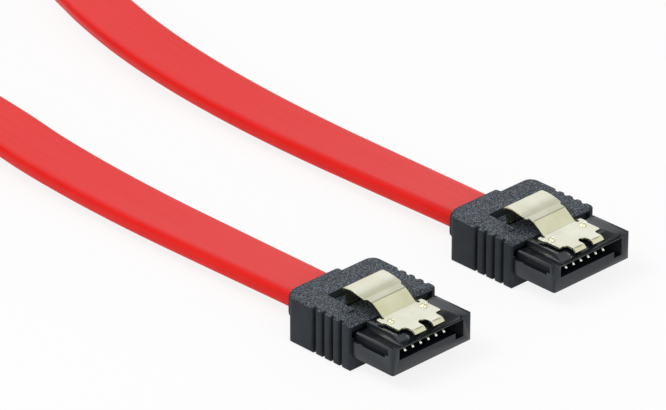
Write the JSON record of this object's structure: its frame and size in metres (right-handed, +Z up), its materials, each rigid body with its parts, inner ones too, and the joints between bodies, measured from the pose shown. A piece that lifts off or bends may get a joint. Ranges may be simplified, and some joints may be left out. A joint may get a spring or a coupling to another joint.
{
  "type": "sata data cable",
  "caption": "Red flat SATA data cable, 0.3 m, folded back so that its two straight black latching plugs lie side by side.",
  "frame": {"origin": "midway between the two plugs, on the surface that they lie on", "axes": "+X from plug A to plug B, -Y towards the plugs' mating faces, +Z up, on the latch side"},
  "size_m": [0.0577, 0.1496, 0.0083],
  "materials": {
    "overmould_black": "fine grain on top, plain sides",
    "housing_black": "semi-gloss, as moulded",
    "latch_spring": "pale gold, lightly brushed",
    "block_natural": "natural, as moulded",
    "contact_plating": "bright plating",
    "wire_tinned": "tinned",
    "wire_insulation": "satin",
    "jacket_red": "satin, fine lengthwise draw lines"
  },
  "bodies": {
    "root": {"plug_a_overmould": "overmould_black", "plug_a_housing": "housing_black", "plug_a_wire_block": "block_natural", "plug_a_contact_1": "contact_plating", "plug_a_contact_2": "contact_plating", "plug_a_contact_3": "contact_plating", "plug_a_contact_4": "contact_plating", "plug_a_contact_5": "contact_plating", "plug_a_contact_6": "contact_plating", "plug_a_contact_7": "contact_plating", "plug_a_ground_wire_1": "wire_tinned", "plug_a_signal_wire_2": "wire_insulation", "plug_a_signal_wire_3": "wire_insulation", "plug_a_ground_wire_4": "wire_tinned", "plug_a_signal_wire_5": "wire_insulation", "plug_a_signal_wire_6": "wire_insulation", "plug_a_ground_wire_7": "wire_tinned", "plug_b_overmould": "overmould_black", "plug_b_housing": "housing_black", "plug_b_wire_block": "block_natural", "plug_b_contact_1": "contact_plating", "plug_b_contact_2": "contact_plating", "plug_b_contact_3": "contact_plating", "plug_b_contact_4": "contact_plating", "plug_b_contact_5": "contact_plating", "plug_b_contact_6": "contact_plating", "plug_b_contact_7": "contact_plating", "plug_b_ground_wire_1": "wire_tinned", "plug_b_signal_wire_2": "wire_insulation", "plug_b_signal_wire_3": "wire_insulation", "plug_b_ground_wire_4": "wire_tinned", "plug_b_signal_wire_5": "wire_insulation", "plug_b_signal_wire_6": "wire_insulation", "plug_b_ground_wire_7": "wire_tinned", "cable_jacket": "jacket_red"},
    "latch_a": {"plug_a_latch": "latch_spring"},
    "latch_b": {"plug_b_latch": "latch_spring"}
  },
  "joints": [
    {"name": "latch_a_press", "type": "hinge", "parent": "root", "child": "latch_a", "pos_m": [-0.0139, 0.0036, 0.0046], "axis": [1, 0, 0], "range_deg": [0, 0.7], "stiffness_Nm_per_rad": 0.02},
    {"name": "latch_b_press", "type": "hinge", "parent": "root", "child": "latch_b", "pos_m": [0.0139, 0.0045, 0.0046], "axis": [1, 0, 0], "range_deg": [0, 0.7], "stiffness_Nm_per_rad": 0.02}
  ]
}
